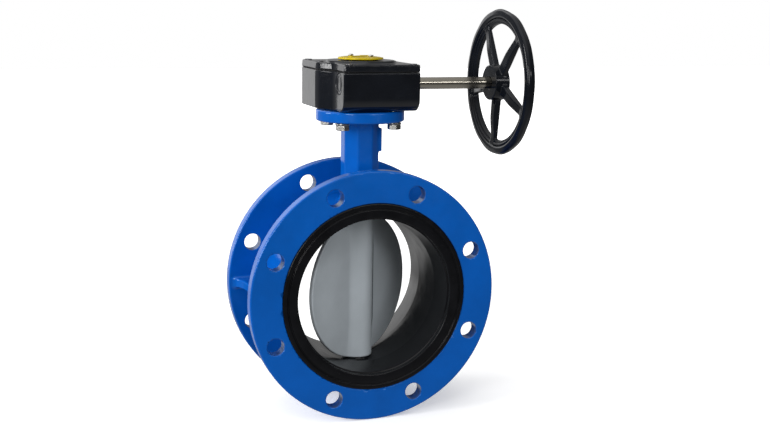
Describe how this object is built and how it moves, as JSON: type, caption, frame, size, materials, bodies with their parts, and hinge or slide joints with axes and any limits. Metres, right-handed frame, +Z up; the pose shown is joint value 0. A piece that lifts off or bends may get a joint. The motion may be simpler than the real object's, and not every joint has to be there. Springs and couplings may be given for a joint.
{
  "type": "butterfly valve",
  "caption": "Double-flanged butterfly valve with rubber seat, coated disc, octagonal neck, worm gear operator, position indicator and spoked handwheel.",
  "frame": {"origin": "where the pipe axis crosses the stem axis, at the middle of the face-to-face length", "axes": "+Y along the pipe from the inlet flange to the outlet flange, +Z up the stem to the gearbox, +X towards the handwheel"},
  "size_m": [0.3644, 0.2448, 0.55],
  "materials": {
    "body_enamel": "glossy royal blue enamel on a casting",
    "seat_rubber": "satin black moulded rubber",
    "bearing_bronze": "turned bronze",
    "bright_steel": "bright zinc-plated or stainless fasteners",
    "gearbox_enamel": "glossy black enamel on a casting",
    "disc_coating": "satin grey nylon coating",
    "stainless_shaft": "turned stainless steel",
    "gear_iron": "machined iron",
    "blackened_steel": "black oxide steel screws",
    "spring_steel": "dark spring steel",
    "indicator_yellow": "yellow plastic",
    "handwheel_enamel": "glossy black enamel on a casting"
  },
  "bodies": {
    "casing": {"valve_body": "body_enamel", "seat_liner": "seat_rubber", "upper_stem_o_ring": "seat_rubber", "middle_stem_o_ring": "seat_rubber", "bottom_plug_gasket": "seat_rubber", "cover_gasket": "seat_rubber", "input_seal": "seat_rubber", "indicator_seal": "seat_rubber", "upper_stem_bush": "bearing_bronze", "middle_stem_bush": "bearing_bronze", "lower_stem_bush": "bearing_bronze", "worm_bearing_left": "bearing_bronze", "worm_bearing_right": "bearing_bronze", "bottom_plug": "bright_steel", "mounting_bolt_1": "bright_steel", "mounting_bolt_2": "bright_steel", "mounting_bolt_3": "bright_steel", "mounting_bolt_4": "bright_steel", "mounting_washer_1": "bright_steel", "mounting_washer_2": "bright_steel", "mounting_washer_3": "bright_steel", "mounting_washer_4": "bright_steel", "stop_screw_left": "bright_steel", "stop_screw_right": "bright_steel", "stop_nut_left": "bright_steel", "stop_nut_right": "bright_steel", "gearbox_housing": "gearbox_enamel", "gearbox_cover": "gearbox_enamel", "worm_end_plug": "gearbox_enamel", "cover_screw_1": "blackened_steel", "cover_screw_2": "blackened_steel", "cover_screw_3": "blackened_steel", "cover_screw_4": "blackened_steel", "cover_screw_5": "blackened_steel", "cover_screw_6": "blackened_steel"},
    "disc_group": {"disc": "disc_coating", "upper_stem": "stainless_shaft", "lower_stem": "stainless_shaft", "worm_wheel": "gear_iron", "stem_key": "spring_steel", "stem_circlip": "spring_steel", "indicator_plate": "indicator_yellow", "indicator_screw_1": "bright_steel", "indicator_screw_2": "bright_steel"},
    "input_group": {"input_shaft": "stainless_shaft", "worm": "gear_iron", "worm_pin": "spring_steel", "handwheel": "handwheel_enamel", "handwheel_pin": "spring_steel"}
  },
  "joints": [
    {"name": "disc_turn", "type": "hinge", "parent": "casing", "child": "disc_group", "pos_m": [0, 0, 0], "axis": [0, 0, 1], "range_deg": [-33.5, 56.5]},
    {"name": "handwheel_turn", "type": "hinge", "parent": "casing", "child": "input_group", "pos_m": [0.1, -0.042, 0.281], "axis": [1, 0, 0], "range_deg": [-804, 1356]}
  ],
  "couplings": [
    {"joint": "handwheel_turn", "follows": "disc_turn", "ratio": 24}
  ]
}
